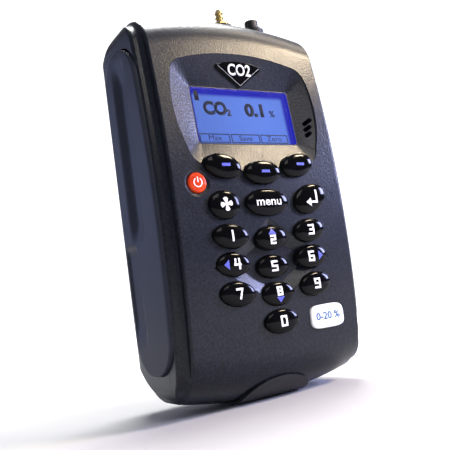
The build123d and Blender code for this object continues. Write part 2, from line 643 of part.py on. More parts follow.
# ---------------------------------------------------------------- gas path and connectors
with BuildPart() as inlet_filter:
    with BuildSketch(Plane.XY.offset(FILTER_LOW)):
        with Locations((BARB_X, FILTER_Y)):
            Circle(3.9)
    extrude(amount=FILTER_HIGH - FILTER_LOW)
    fillet(inlet_filter.edges(), 1.0)
    with BuildSketch(Plane.XY.offset(FILTER_LOW - 4)):
        with Locations((BARB_X, FILTER_Y)):
            Circle(STUB)
    extrude(amount=FILTER_HIGH - FILTER_LOW + 8)
save(inlet_filter.part, "inlet_filter")

TUBES = {
    "inlet_tube": [
        (BARB_X, PORT_Y, 155.5),
        (BARB_X, PORT_Y, 149.0),
        (BARB_X, FILTER_Y, 139.0),
        (BARB_X, FILTER_Y, FILTER_HIGH + 0.3),
    ],
    "sensor_tube": [
        (BARB_X, FILTER_Y, FILTER_LOW - 0.3),
        (BARB_X, FILTER_Y, BENCH_IN_Z),
        (BENCH_X + 9.3, FILTER_Y, BENCH_IN_Z),
    ],
    "pump_tube": [
        (BENCH_X + 9.3, TUBE_LANE_Y, BENCH_OUT_Z),
        (1.0, TUBE_LANE_Y, BENCH_OUT_Z),
        (1.0, TUBE_LANE_Y, PUMP_LOW - 5),
        (PUMP_X - 11.8, TUBE_LANE_Y, PUMP_LOW - 5),
    ],
    "exhaust_tube": [(VENT_X, VENT_Y, PUMP_LOW + 0.3), (VENT_X, VENT_Y, 157.6)],
}
for name, route in TUBES.items():
    with BuildPart() as tube:
        with BuildLine():
            path = FilletPolyline(*route, radius=3.2) if len(route) > 2 else Polyline(*route)
        with BuildSketch(Plane(origin=path @ 0, z_dir=path % 0)):
            Circle(TUBE_OUTER)
            Circle(TUBE_BORE, mode=Mode.SUBTRACT)
        sweep()
    save(tube.part, name)

with BuildPart() as hose_barb:
    with BuildSketch(Plane.XY.offset(PORT_SEAT)):
        with Locations((BARB_X, PORT_Y)):
            RegularPolygon(3.9, 6)
    extrude(amount=1.6)
    with BuildSketch(Plane(origin=(BARB_X, PORT_Y, 0), x_dir=(1, 0, 0), z_dir=(0, -1, 0))):
        with BuildLine():
            foot_of_barbs = BARB_TOP - BARB_COUNT * BARB_PITCH
            steps = [(0, 151.5), (STUB, 151.5), (STUB, 157.0), (BARB_BODY - 0.05, 157.0)]
            steps += [(BARB_BODY - 0.05, PORT_SEAT + 0.5), (1.35, PORT_SEAT + 0.5)]
            for step in range(BARB_COUNT):
                base = foot_of_barbs + step * BARB_PITCH
                steps += [(1.35, base), (1.95, base + 0.25), (1.35, base + BARB_PITCH - 0.35)]
            steps += [(1.2, BARB_TOP), (0, BARB_TOP), (0, 151.5)]
            Polyline(*steps)
        make_face()
    revolve(axis=Axis((BARB_X, PORT_Y, 0), (0, 0, 1)))
    with BuildSketch(Plane.XY.offset(BARB_TOP)):
        with Locations((BARB_X, PORT_Y)):
            Circle(0.75)
    extrude(amount=-22, mode=Mode.SUBTRACT)
save(hose_barb.part, "hose_barb")

with BuildPart() as jack_socket:
    with BuildSketch(Plane.XY.offset(154)):
        with Locations((JACK_X, PORT_Y)):
            Circle(JACK_BODY - 0.05)
    extrude(amount=JACK_TOP - 154)
    with BuildSketch(Plane.XY.offset(PORT_SEAT)):
        with Locations((JACK_X, PORT_Y)):
            Circle(3.9)
    extrude(amount=1.4)
    fillet(jack_socket.edges().group_by(Axis.Z)[-1], 0.5)
    with BuildSketch(Plane.XY.offset(JACK_TOP)):
        with Locations((JACK_X, PORT_Y)):
            Circle(JACK_BORE)
    extrude(amount=-JACK_DEPTH, mode=Mode.SUBTRACT)
save(jack_socket.part, "jack_socket")

with BuildPart() as vent_plug:
    with BuildSketch(Plane.XY.offset(160)):
        with Locations((VENT_X, VENT_Y)):
            Circle(VENT_RADIUS - 0.05)
    extrude(amount=LENGTH - 160 + 0.3)
    fillet(vent_plug.edges().group_by(Axis.Z)[-1], 0.4)
    with BuildSketch(Plane.XY.offset(154)):
        with Locations((VENT_X, VENT_Y)):
            Circle(STUB)
    extrude(amount=6)
save(vent_plug.part, "vent_plug")

# ---------------------------------------------------------------- fasteners
with BuildPart() as case_screws:
    with BuildSketch(outward(SCREW_SEAT)):
        with Locations(SCREW_SPOTS):
            Circle(SCREW_RADIUS)
    extrude(amount=SCREW_SEAT - PARTING_Y + 6)
    with BuildSketch(outward(SCREW_SEAT + 2.2)):
        with Locations(SCREW_SPOTS):
            Circle(SCREW_HEAD_RADIUS)
    extrude(amount=2.2)
    with BuildSketch(outward(SCREW_SEAT + 2.2)):
        with Locations(SCREW_SPOTS):
            Rectangle(3.2, 0.7)
            Rectangle(0.7, 3.2)
    extrude(amount=1.2, mode=Mode.SUBTRACT)
save(case_screws.part, "case_screws")

with BuildPart() as board_screws:
    with BuildSketch(outward(MAIN_BOARD_Y + BOARD_THICK)):
        with Locations(POST_SPOTS):
            Circle(1.0)
    extrude(amount=BOARD_THICK + 5)
    with BuildSketch(outward(MAIN_BOARD_Y + BOARD_THICK + 1.3)):
        with Locations(POST_SPOTS):
            Circle(1.9)
    extrude(amount=1.3)
save(board_screws.part, "board_screws")
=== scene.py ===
"""Looks of the hand-held carbon dioxide monitor: finishes, keys, legends, display, grips and stage.

Sizes are millimetres times MM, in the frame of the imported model: +Z up the long axis, -Y out of the face.
"""
import json
import math

import bpy
from bpy.props import FloatProperty, FloatVectorProperty, PointerProperty, StringProperty
from mathutils import Matrix, Vector

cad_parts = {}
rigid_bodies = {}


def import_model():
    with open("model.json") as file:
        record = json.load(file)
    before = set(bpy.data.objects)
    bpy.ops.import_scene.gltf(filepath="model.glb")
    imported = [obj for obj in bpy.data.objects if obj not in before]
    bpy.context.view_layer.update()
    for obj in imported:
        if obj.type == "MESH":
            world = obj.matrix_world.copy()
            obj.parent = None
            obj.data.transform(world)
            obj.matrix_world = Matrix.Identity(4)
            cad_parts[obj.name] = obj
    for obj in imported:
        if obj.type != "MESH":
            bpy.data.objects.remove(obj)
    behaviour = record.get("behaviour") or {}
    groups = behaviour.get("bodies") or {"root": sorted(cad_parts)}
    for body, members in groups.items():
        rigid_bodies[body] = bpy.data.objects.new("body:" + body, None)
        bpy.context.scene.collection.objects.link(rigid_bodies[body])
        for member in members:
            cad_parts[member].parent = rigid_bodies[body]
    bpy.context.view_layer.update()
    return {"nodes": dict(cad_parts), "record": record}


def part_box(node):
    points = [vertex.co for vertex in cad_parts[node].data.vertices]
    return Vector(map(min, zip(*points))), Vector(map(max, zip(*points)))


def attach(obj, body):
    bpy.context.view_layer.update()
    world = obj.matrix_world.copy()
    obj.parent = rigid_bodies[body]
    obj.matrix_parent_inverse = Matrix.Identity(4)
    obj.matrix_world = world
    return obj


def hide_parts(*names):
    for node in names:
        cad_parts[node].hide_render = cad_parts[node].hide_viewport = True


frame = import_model()

bl_info = {
    "name": "Carbon dioxide monitor",
    "version": (1, 0, 0),
    "blender": (4, 5, 0),
    "location": "3D View > Sidebar > Monitor",
    "description": "Builds the visible pieces and finishes of a hand-held carbon dioxide monitor",
    "category": "Object",
}

MM = 0.001

# name: (half length, half height, turn in degrees) of each key's ellipse, in mm
KEY_SHAPES = {
    "key_soft_left": (8.2, 4.8, -11),
    "key_soft_middle": (8.6, 4.8, 0),
    "key_soft_right": (8.2, 4.8, 11),
    "key_power": (4.0, 4.0, 0),
    "key_pump": (6.8, 5.6, 0),
    "key_menu": (10.2, 5.4, 0),
    "key_enter": (8.8, 5.7, 22),
    "key_1": (7.9, 4.7, -6),
    "key_2": (7.6, 4.7, 0),
    "key_3": (7.9, 4.7, 6),
    "key_4": (7.6, 4.6, -4),
    "key_5": (7.6, 4.6, 0),
    "key_6": (7.9, 4.6, 4),
    "key_7": (7.9, 4.7, -6),
    "key_8": (7.8, 4.6, 0),
    "key_9": (7.9, 4.7, 6),
    "key_0": (8.1, 4.7, 0),
}
# strokes of the squared numerals on a grid one wide and two high
NUMERALS = {
    "0": [((0, 0), (1, 0)), ((1, 0), (1, 2)), ((1, 2), (0, 2)), ((0, 2), (0, 0))],
    "1": [((0.5, 0), (0.5, 2))],
    "2": [((0, 2), (1, 2)), ((1, 2), (1, 1)), ((1, 1), (0, 1)), ((0, 1), (0, 0)), ((0, 0), (1, 0))],
    "3": [((0, 2), (1, 2)), ((1, 2), (1, 0)), ((1, 0), (0, 0)), ((0.25, 1), (1, 1))],
    "4": [((0.15, 2), (0, 0.85)), ((0, 0.85), (1, 0.85)), ((0.85, 2), (0.85, 0))],
    "5": [((1, 2), (0, 2)), ((0, 2), (0, 1)), ((0, 1), (1, 1)), ((1, 1), (1, 0)), ((1, 0), (0, 0))],
    "6": [((1, 2), (0, 2)), ((0, 2), (0, 0)), ((0, 0), (1, 0)), ((1, 0), (1, 1)), ((1, 1), (0, 1))],
    "7": [((0, 2), (1, 2)), ((1, 2), (0.55, 0))],
    "8": [((0, 0), (1, 0)), ((1, 0), (1, 2)), ((1, 2), (0, 2)), ((0, 2), (0, 0)), ((0, 1), (1, 1))],
    "9": [((1, 1), (0, 1)), ((0, 1), (0, 2)), ((0, 2), (1, 2)), ((1, 2), (1, 0)), ((1, 0), (0, 0))],
}
# key: (offset of the arrow's middle along and up the key in mm, turn of the arrow in degrees)
ARROWS = {"key_2": (0, 2.2, 0), "key_4": (-3.6, 0, 90), "key_6": (3.6, 0, -90), "key_8": (0, -2.3, 180)}

# side grips, in mm
GRIP_FACE, GRIP_SEAT = 46.8, 43.4  # outer face and the seat under it, from the middle of the case
GRIP_CORNER, GRIP_EDGE = 14.2, 1.3  # rounded ends of the outline and rounded edge of the face
GRIP_BOW, GRIP_BOW_HEIGHT = 483, 74  # radius of the bowed front edge and where it is furthest forward
GRIP_MARGIN = 2.2  # margin in which the relief fades out
GRIP_GRID = (48, 150)  # faces across and along

CAPITAL = 0.7  # height of a capital letter in this font, as a share of its size
PRINT_START = 2.0  # mm in front of a piece where its print starts before it is laid on
BADGE_LEAN = -12  # degrees by which the badge leans back


# ---------------------------------------------------------------- colours and nodes
def linear(hex_colour):
    """Linear RGBA of an sRGB hex colour."""
    channels = [int(hex_colour[i : i + 2], 16) / 255 for i in (1, 3, 5)]
    return tuple(c / 12.92 if c <= 0.04045 else ((c + 0.055) / 1.055) ** 2.4 for c in channels) + (1.0,)


def add_node(tree, kind, settings=None, links=None):
    """Add one node, set its properties or sockets and link its inputs to the given outputs."""
    new = tree.nodes.new(kind)
    for name, value in (settings or {}).items():
        if isinstance(name, int) or name in new.inputs:
            new.inputs[name].default_value = value
        else:
            setattr(new, name, value)
    for name, source in (links or {}).items():
        tree.links.new(source, new.inputs[name])
    return new


def new_material(name):
    """Empty node material and its output and object coordinates."""
    material = bpy.data.materials.new(name)
    material.use_nodes = True
    tree = material.node_tree
    tree.nodes.clear()
    place = add_node(tree, "ShaderNodeTexCoord").outputs["Object"]
    return material, tree, place


def close_material(tree, settings, links):
    """Principled shader with the given sockets, joined to the output."""
    shader = add_node(tree, "ShaderNodeBsdfPrincipled", settings, links)
    add_node(tree, "ShaderNodeOutputMaterial", None, {"Surface": shader.outputs["BSDF"]})


def mottled(name, dark, light, rough, grain, relief, shader=None, stretch=(1, 1, 1)):
    """Finish with a fine grain: two colours, a roughness range, grain size and relief in mm.

    Moulded, printed and cast surfaces have a grain of 0.02 to 0.2 mm, too fine to show, so most are drawn
    at 0.35 to 0.8 mm. The slow waves of glossy skins are a few mm long, as they really are.
    """
    material, tree, place = new_material(name)
    turned = add_node(tree, "ShaderNodeMapping", {"Scale": stretch}, {"Vector": place})
    noise = add_node(
        tree,
        "ShaderNodeTexNoise",
        {"Scale": 1 / (grain * MM), "Detail": 3.0, "Roughness": 0.55},
        {"Vector": turned.outputs["Vector"]},
    )
    tint = add_node(tree, "ShaderNodeValToRGB", None, {"Fac": noise.outputs["Fac"]})
    tint.color_ramp.elements[0].position = 0.35
    tint.color_ramp.elements[0].color = dark
    tint.color_ramp.elements[1].position = 0.68
    tint.color_ramp.elements[1].color = light
    sheen = add_node(
        tree,
        "ShaderNodeMapRange",
        {"From Min": 0.3, "From Max": 0.7, "To Min": rough[0], "To Max": rough[1]},
        {"Value": noise.outputs["Fac"]},
    )
    bump = add_node(
        tree, "ShaderNodeBump", {"Strength": 0.6, "Distance": relief * MM}, {"Height": noise.outputs["Fac"]}
    )
    close_material(
        tree,
        shader or {},
        {
            "Base Color": tint.outputs["Color"],
            "Roughness": sheen.outputs["Result"],
            "Normal": bump.outputs["Normal"],
        },
    )
    return material


# ---------------------------------------------------------------- finishes
def spark_textured_abs(colour):
    """Charcoal ABS from a spark-eroded mould: a fine pitted grain that sparkles where light grazes it."""
    material, tree, place = new_material("spark_textured_abs")
    # The real grain is about 0.15 mm; it is drawn at 0.8 mm so that it shows from arm's length.
    grain = add_node(
        tree, "ShaderNodeTexVoronoi", {"Scale": 1 / (0.8 * MM), "Randomness": 1.0}, {"Vector": place}
    )
    fine = add_node(tree, "ShaderNodeTexNoise", {"Scale": 1 / (1.3 * MM), "Detail": 4.0}, {"Vector": place})
    broad = add_node(tree, "ShaderNodeTexNoise", {"Scale": 1 / (28 * MM), "Detail": 2.0}, {"Vector": place})
    pits = add_node(
        tree,
        "ShaderNodeMath",
        {"operation": "MULTIPLY"},
        {0: grain.outputs["Distance"], 1: fine.outputs["Fac"]},
    )
    worn = add_node(
        tree,
        "ShaderNodeMapRange",
        {"From Min": 0.05, "From Max": 0.4, "To Min": 0.45, "To Max": 1.9},
        {"Value": pits.outputs["Value"]},
    )
    tint = add_node(
        tree,
        "ShaderNodeMix",
        {"data_type": "RGBA", "blend_type": "MULTIPLY", 0: 1.0, 6: colour},
        {7: worn.outputs["Result"]},
    )
    sheen = add_node(
        tree,
        "ShaderNodeMapRange",
        {"From Min": 0.3, "From Max": 0.7, "To Min": 0.27, "To Max": 0.34},
        {"Value": broad.outputs["Fac"]},
    )
    bump = add_node(
        tree, "ShaderNodeBump", {"Strength": 0.7, "Distance": 0.10 * MM}, {"Height": pits.outputs["Value"]}
    )
    close_material(
        tree,
        {"IOR": 1.5, "Specular IOR Level": 0.28},
        {
            "Base Color": tint.outputs[2],
            "Roughness": sheen.outputs["Result"],
            "Normal": bump.outputs["Normal"],
        },
    )
    return material


def lit_liquid_crystal(lit, edge):
    """Blue backlit liquid crystal: brightest in the middle, with painted shade in deep blue along the
    window's top and right where the frame shades it.
    """
    material, tree, place = new_material("lit_liquid_crystal")
    low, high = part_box("display_window")
    spread = add_node(tree, "ShaderNodeSeparateXYZ", None, {"Vector": place})
    # painted shade of the window's frame, in bands: axis, edge of the window and how far the band reaches in
    # from it
    bands = (("Z", high.z, -4.0 * MM), ("X", high.x, -4.2 * MM), ("X", low.x, 1.2 * MM))
    shades = []
    for axis, rim, reach in bands:
        shade = add_node(
            tree,
            "ShaderNodeMapRange",
            {"interpolation_type": "SMOOTHSTEP", "From Min": rim + 0.5 * reach, "From Max": rim + reach},
            {"Value": spread.outputs[axis]},
        )
        shades.append(shade.outputs["Result"])
    inside = shades[0]
    for shade in shades[1:]:
        joined = add_node(tree, "ShaderNodeMath", {"operation": "MULTIPLY"}, {0: inside, 1: shade})
        inside = joined.outputs["Value"]
    # the pool of light lies 8 mm right of the middle and fades out in 1/26 m sideways and 1/34 m up and down
    across, along = 26, 34
    centred = add_node(
        tree,
        "ShaderNodeMapping",
        {"Location": (-0.2, 0, -(low.z + high.z) / 2 * along), "Scale": (across, 0, along)},
        {"Vector": place},
    )
    pool = add_node(
        tree, "ShaderNodeTexGradient", {"gradient_type": "SPHERICAL"}, {"Vector": centred.outputs["Vector"]}
    )
    # the display's dots are 0.4 mm apart
    cells = add_node(tree, "ShaderNodeTexNoise", {"Scale": 1 / (0.4 * MM), "Detail": 1.0}, {"Vector": place})
    level = add_node(
        tree,
        "ShaderNodeMath",
        {"operation": "MULTIPLY_ADD", 1: 0.12},
        {0: cells.outputs["Fac"], 2: pool.outputs["Fac"]},
    )
    glow = add_node(tree, "ShaderNodeValToRGB", None, {"Fac": level.outputs["Value"]})
    glow.color_ramp.elements[0].color = tuple(0.72 * c for c in lit[:3]) + (1.0,)
    glow.color_ramp.elements[1].position = 0.85
    glow.color_ramp.elements[1].color = lit
    # towards the edges the painted shade colour takes over from the glow
    mixed = add_node(
        tree,
        "ShaderNodeMix",
        {"data_type": "RGBA", 6: edge},
        {0: inside, 7: glow.outputs["Color"]},
    )
    unlit = add_node(tree, "ShaderNodeHueSaturation", {"Value": 0.15}, {"Color": mixed.outputs[2]})
    close_material(
        tree,
        {"Roughness": 0.35, "Specular IOR Level": 0.08, "Emission Strength": 0.95},
        {"Base Color": unlit.outputs["Color"], "Emission Color": mixed.outputs[2]},
    )
    return material


def clear_acrylic():
    """Clear cast acrylic window: it lets the display through and takes a soft highlight."""
    material, tree, place = new_material("clear_acrylic")
    haze = add_node(tree, "ShaderNodeTexNoise", {"Scale": 1 / (9 * MM)}, {"Vector": place})
    sheen = add_node(
        tree, "ShaderNodeMapRange", {"To Min": 0.02, "To Max": 0.06}, {"Value": haze.outputs["Fac"]}
    )
    close_material(
        tree,
        {
            "Base Color": linear("#f4f7ff"),
            "IOR": 1.49,
            "Specular IOR Level": 0.15,
            "Transmission Weight": 1.0,
        },
        {"Roughness": sheen.outputs["Result"]},
    )
    return material


def make_finishes(looks):
    """All materials, by the record's slot name or by the name of the piece that wears them."""
    gloss = {"IOR": 1.45, "Specular IOR Level": 0.16}
    metal = {"Metallic": 1.0}
    return {
        "case_abs": spark_textured_abs(looks.case_colour),
        # Liquid silicone rubber from a satin mould: matt, with a faint soft bloom at grazing angles.
        "silicone": mottled(
            "matt_silicone_rubber",
            linear("#1d212b"),
            linear("#292e3c"),
            (0.46, 0.56),
            0.5,
            0.02,
            {"IOR": 1.41, "Specular IOR Level": 0.35},
        ),
        # Pressed rubber: dull dark grey with almost no highlight.
        "foot": mottled(
            "moulded_rubber_foot",
            linear("#26262a"),
            linear("#333337"),
            (0.62, 0.75),
            0.6,
            0.03,
            {"IOR": 1.45},
        ),
        # Moulded nitrile cord: near black and dull.
        "seal_rubber": mottled(
            "nitrile_rubber", linear("#0d0d0e"), linear("#171718"), (0.6, 0.7), 0.4, 0.02
        ),
        # Polyurethane resin domed over black print: deep black with sharp, bright highlights.
        "key_gloss": mottled(
            "domed_black_resin", linear("#030304"), linear("#060608"), (0.07, 0.11), 6.0, 0.01, gloss
        ),
        # Moulded body of a key below its resin: satin black that spreads a highlight.
        "key_side": mottled(
            "satin_black_key_side", linear("#09090b"), linear("#111214"), (0.3, 0.4), 0.6, 0.02, {"IOR": 1.45}
        ),
        # The same resin over orange-red print: strong colour under a sharp highlight.
        "power_key": mottled(
            "domed_orange_red_resin", linear("#c73a1b"), linear("#d84a26"), (0.12, 0.18), 3.0, 0.01, gloss
        ),
        # Screen-printed inks: flat, opaque and slightly satin.
        "legend": mottled("white_print", looks.legend_colour, linear("#ffffff"), (0.3, 0.4), 0.8, 0.005),
        "arrow": mottled("blue_print", looks.arrow_colour, linear("#6068d0"), (0.3, 0.4), 0.8, 0.005),
        "label_ink": mottled(
            "label_blue_ink", linear("#2f5f94"), linear("#3f70a6"), (0.3, 0.4), 0.6, 0.003
        ),
        # Liquid crystal segments that are switched on: they block the light behind, so they look near black.
        "display_ink": mottled(
            "dark_display_ink", linear("#0a1034"), linear("#10173e"), (0.4, 0.5), 0.5, 0.002
        ),
        # Compression-moulded silicone mat: dull dark grey.
        "keypad_rubber": mottled(
            "keypad_silicone", linear("#2a2a2d"), linear("#363639"), (0.6, 0.7), 0.5, 0.02
        ),
        # Polished black cast acrylic: mirrors the lights with a slight haze.
        "badge_gloss": mottled(
            "black_acrylic_badge", linear("#040405"), linear("#0a0a0c"), (0.06, 0.1), 5.0, 0.008, gloss
        ),
        # Clear resin domed over a white printed film: bright white with a soft glossy edge.
        "label_white": mottled(
            "domed_white_label", linear("#f4f8fb"), linear("#fdfeff"), (0.12, 0.2), 4.0, 0.01, gloss
        ),
        # Silver-backed polyester film: an even satin grey; also used for the painted highlight line along the
        # badge's edges.
        "label_silver": mottled(
            "silver_polyester", linear("#8d9095"), linear("#a5a8ac"), (0.35, 0.45), 0.6, 0.01
        ),
        "window_clear": clear_acrylic(),
        "display_blue": lit_liquid_crystal(looks.lit_colour, looks.bezel_shade_colour),
        # Opal acrylic light guide: milky and pale.
        "backlight": mottled(
            "diffusing_acrylic", linear("#cdd6f0"), linear("#e6ecfa"), (0.4, 0.5), 0.7, 0.01
        ),
        # Bright zinc plate on drawn steel: a cool grey metal with a soft grain.
        "steel": mottled(
            "zinc_plated_steel", linear("#a8a9ab"), linear("#c2c3c4"), (0.22, 0.34), 0.5, 0.01, metal
        ),
        # Glass-epoxy board under green solder mask: half-gloss dark green.
        "circuit_board": mottled(
            "green_solder_mask", linear("#0d3f22"), linear("#14552f"), (0.3, 0.42), 0.8, 0.02
        ),
        # Heat-shrunk film round the cells: smooth, glossy green.
        "battery_wrap": mottled(
            "green_shrink_film", linear("#0f5a35"), linear("#157043"), (0.22, 0.3), 3.0, 0.02
        ),
        # Injection-moulded nylon: plain dark grey with a dull skin.
        "inner_plastic": mottled(
            "moulded_nylon", linear("#3a3a3c"), linear("#47474a"), (0.45, 0.55), 0.6, 0.02
        ),
        # Milled aluminium: pale, with fine cutter lines up the part.
        "aluminium": mottled(
            "milled_aluminium",
            linear("#c3c5c8"),
            linear("#d8dadc"),
            (0.28, 0.4),
            0.4,
            0.01,
            metal,
            (1, 1, 0.1),
        ),
        # Free-cutting brass off the lathe: warm yellow, with fine rings round the axis.
        "brass": mottled(
            "turned_brass",
            linear("#cfb675"),
            linear("#eadba6"),
            (0.18, 0.28),
            0.35,
            0.015,
            metal,
            (0.1, 0.1, 1),
        ),
        # Moulded black nylon: satin, a little shinier than the case.
        "socket_black": mottled(
            "moulded_black_nylon", linear("#121214"), linear("#1c1c1f"), (0.25, 0.35), 0.5, 0.02
        ),
        # Sintered bronze grains: a dull brown-grey metal with an open, pitted surface.
        "sintered": mottled(
            "sintered_bronze", linear("#6e675c"), linear("#948b7c"), (0.5, 0.65), 0.35, 0.06, metal
        ),
        # Extruded soft tubing: milky pale grey, smooth.
        "tubing": mottled(
            "soft_clear_tubing", linear("#c6c8c2"), linear("#dcdedb"), (0.25, 0.35), 2.0, 0.01
        ),
    }


FINISHES = {}


# ---------------------------------------------------------------- modelling helpers
def deselect():
    """Clear the selection, which operators act on."""
    bpy.ops.object.select_all(action="DESELECT")


def only(piece):
    """Make piece the one selected and active object."""
    deselect()
    piece.select_set(True)
    bpy.context.view_layer.objects.active = piece


def settle(piece, name, finish, body="case"):
    """Name a finished piece, give it its material if it has none, and let it ride on its body."""
    piece.name = name
    piece.data.name = name
    if not piece.data.materials:
        piece.data.materials.append(FINISHES[finish])
    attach(piece, body)
    return piece


def into_place(piece, matrix):
    """Move a piece's mesh by matrix and leave its object at the origin."""
    only(piece)
    piece.matrix_world = matrix
    bpy.ops.object.transform_apply(location=True, rotation=True, scale=True)
    return piece


def facing_out(x, y, z, turn=0.0, lean=0.0):
    """Matrix that stands a flat drawing up at a point: x to the right, y up and z out of the face."""
    stand = Matrix.Rotation(math.radians(90 + lean), 4, "X")
    return Matrix.Translation((x, y, z)) @ stand @ Matrix.Rotation(math.radians(turn), 4, "Z")


def apply_modifier(piece, kind, **settings):
    """Add one modifier to piece and apply it."""
    only(piece)
    modifier = piece.modifiers.new(kind.lower(), kind)
    for name, value in settings.items():
        setattr(modifier, name, value)
    bpy.ops.object.modifier_apply(modifier=modifier.name)


def tidy_mesh(piece, angle=35.0):
    """Merge doubles, point the faces outwards and shade smooth up to an angle."""
    only(piece)
    bpy.ops.object.mode_set(mode="EDIT")
    bpy.ops.mesh.select_all(action="SELECT")
    bpy.ops.mesh.remove_doubles(threshold=0.002 * MM)
    bpy.ops.mesh.normals_make_consistent(inside=False)
    bpy.ops.object.mode_set(mode="OBJECT")
    bpy.ops.object.shade_smooth_by_angle(angle=math.radians(angle))


def ringed(half_x, half_y, rings, power=2.0, segments=72):
    """Domed button drawn flat: rings are (inset, height) in mm from its back to its crown.

    Its outline is an ellipse at power 2 and squarer above that.
    """
    deselect()
    bpy.ops.mesh.primitive_circle_add(vertices=segments, radius=1.0, fill_type="NGON")
    piece = bpy.context.object
    inset, height = rings[0]
    for vertex in piece.data.vertices:
        x, y = vertex.co.x, vertex.co.y
        stretch = (abs(x) ** power + abs(y) ** power) ** (-1 / power)
        vertex.co = Vector((x * stretch * (half_x - inset), y * stretch * (half_y - inset), height)) * MM
    bpy.ops.object.mode_set(mode="EDIT")
    bpy.ops.mesh.select_all(action="SELECT")
    for next_inset, next_height in rings[1:]:
        rise = (0, 0, (next_height - height) * MM)
        bpy.ops.mesh.extrude_region_move(TRANSFORM_OT_translate={"value": rise})
        growth = ((half_x - next_inset) / (half_x - inset), (half_y - next_inset) / (half_y - inset), 1)
        bpy.ops.transform.resize(value=growth, center_override=(0, 0, 0))
        inset, height = next_inset, next_height
    bpy.ops.mesh.poke()
    bpy.ops.object.mode_set(mode="OBJECT")
    return piece


def strokes(lines, width, scale=1.0):
    """Flat drawing of straight strokes of one width in mm, with square ends."""
    deselect()
    bpy.ops.mesh.primitive_plane_add(size=1.0)
    piece = bpy.context.object
    bpy.ops.object.mode_set(mode="EDIT")
    bpy.ops.mesh.select_all(action="SELECT")
    bpy.ops.mesh.delete(type="VERT")
    for start, end in lines:
        run = (Vector(end) - Vector(start)) * scale
        middle = (Vector(end) + Vector(start)) * scale / 2
        bpy.ops.mesh.primitive_plane_add(size=1.0)
        bpy.ops.transform.resize(value=((run.length + width) * MM, width * MM, 1), center_override=(0, 0, 0))
        # without a window this operator turns the opposite way
        bpy.ops.transform.rotate(value=-math.atan2(run.y, run.x), orient_axis="Z", center_override=(0, 0, 0))
        bpy.ops.transform.translate(value=(middle.x * MM, middle.y * MM, 0))
    bpy.ops.object.mode_set(mode="OBJECT")
    return piece


def lettering(text, height, weight=0.0, squeeze=1.0):
    """Flat centred text, height in mm of a capital letter, made a mesh."""
    deselect()
    bpy.ops.object.text_add()
    piece = bpy.context.object
    piece.data.body = text
    piece.data.size = height * MM / CAPITAL
    piece.data.offset = weight * MM
    piece.data.align_x = "CENTER"
    piece.data.align_y = "CENTER"
    piece.data.resolution_u = 4
    bpy.ops.object.convert(target="MESH")
    piece = bpy.context.object
    piece.scale = (squeeze, 1, 1)
    bpy.ops.object.transform_apply(location=True, rotation=True, scale=True)
    return piece


def polygon(points):
    """Flat drawing of one closed polygon, points in mm."""
    deselect()
    bpy.ops.mesh.primitive_circle_add(vertices=len(points), radius=1.0, fill_type="NGON")
    piece = bpy.context.object
    for vertex, (x, y) in zip(piece.data.vertices, points):
        vertex.co = (x * MM, y * MM, 0)
    return piece


def printed_on(drawing, target, thick=0.05, cuts=3):
    """Lay a flat upright drawing onto the front of target and give it a thickness in mm."""
    only(drawing)
    bpy.ops.object.mode_set(mode="EDIT")
    bpy.ops.mesh.select_all(action="SELECT")
    bpy.ops.mesh.quads_convert_to_tris()
    bpy.ops.mesh.subdivide(number_cuts=cuts)
    bpy.ops.object.mode_set(mode="OBJECT")
    apply_modifier(
        drawing,
        "SHRINKWRAP",
        target=target,
        wrap_method="PROJECT",
        use_project_y=True,
        use_negative_direction=True,
        use_positive_direction=True,
        offset=0.01 * MM,
    )
    apply_modifier(drawing, "SOLIDIFY", thickness=thick * MM, offset=1.0)
    return drawing


# ---------------------------------------------------------------- settings
class MonitorLooks(bpy.types.PropertyGroup):
    """Colours and texts of the monitor."""

    case_colour: FloatVectorProperty(
        name="Case",
        description="Colour of the moulded case",
        subtype="COLOR",
        size=4,
        default=linear("#12161e"),
    )
    legend_colour: FloatVectorProperty(
        name="Legends",
        description="Colour of the key legends",
        subtype="COLOR",
        size=4,
        default=linear("#f2f2f2"),
    )
    arrow_colour: FloatVectorProperty(
        name="Arrows",
        description="Colour of the arrows and dashes",
        subtype="COLOR",
        size=4,
        default=linear("#4f57c4"),
    )
    lit_colour: FloatVectorProperty(
        name="Lit display",
        description="Colour of the lit display",
        subtype="COLOR",
        size=4,
        default=linear("#6488e4"),
    )
    # deep blue of the painted shade that the window's frame casts on the display's edges
    bezel_shade_colour: FloatVectorProperty(
        name="Display edge",
        description="Colour of the display's shaded edges",
        subtype="COLOR",
        size=4,
        default=linear("#0209b0"),
    )
    reading: StringProperty(name="Reading", description="Number on the display", default="0.1")


class MonitorSizes(bpy.types.PropertyGroup):
    """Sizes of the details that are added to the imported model."""

    crown: FloatProperty(
        name="Key crown",
        description="Rise of a key's dome",
        subtype="DISTANCE",
        unit="LENGTH",
        default=0.9 * MM,
    )
    numeral: FloatProperty(
        name="Numeral",
        description="Half height of a key's numeral",
        subtype="DISTANCE",
        unit="LENGTH",
        default=1.75 * MM,
    )
    valley: FloatProperty(
        name="Grip valley",
        description="Depth of the finger valley",
        subtype="DISTANCE",
        unit="LENGTH",
        default=2.1 * MM,
    )


class MonitorStage(bpy.types.PropertyGroup):
    """Light and camera."""

    azimuth: FloatProperty(
        name="Azimuth",
        description="Camera angle round the monitor",
        subtype="ANGLE",
        default=math.radians(-31.96),
    )
    elevation: FloatProperty(
        name="Elevation",
        description="Camera angle above the horizon",
        subtype="ANGLE",
        default=math.radians(-6.87),
    )
    roll: FloatProperty(
        name="Roll",
        description="Turn of the camera about its own axis",
        subtype="ANGLE",
        default=math.radians(-8.17),
    )
    stand: FloatVectorProperty(
        name="Camera place",
        description="Where the camera stands",
        subtype="TRANSLATION",
        size=3,
        default=(-143.7 * MM, -223.05 * MM, 42.7 * MM),
    )
    lens: FloatProperty(
        name="Lens", description="Focal length in millimetres", unit="CAMERA", min=1, default=48.55
    )
    overhead: FloatProperty(
        name="Overhead light", description="Power in watts", unit="POWER", min=0, default=1.5
    )


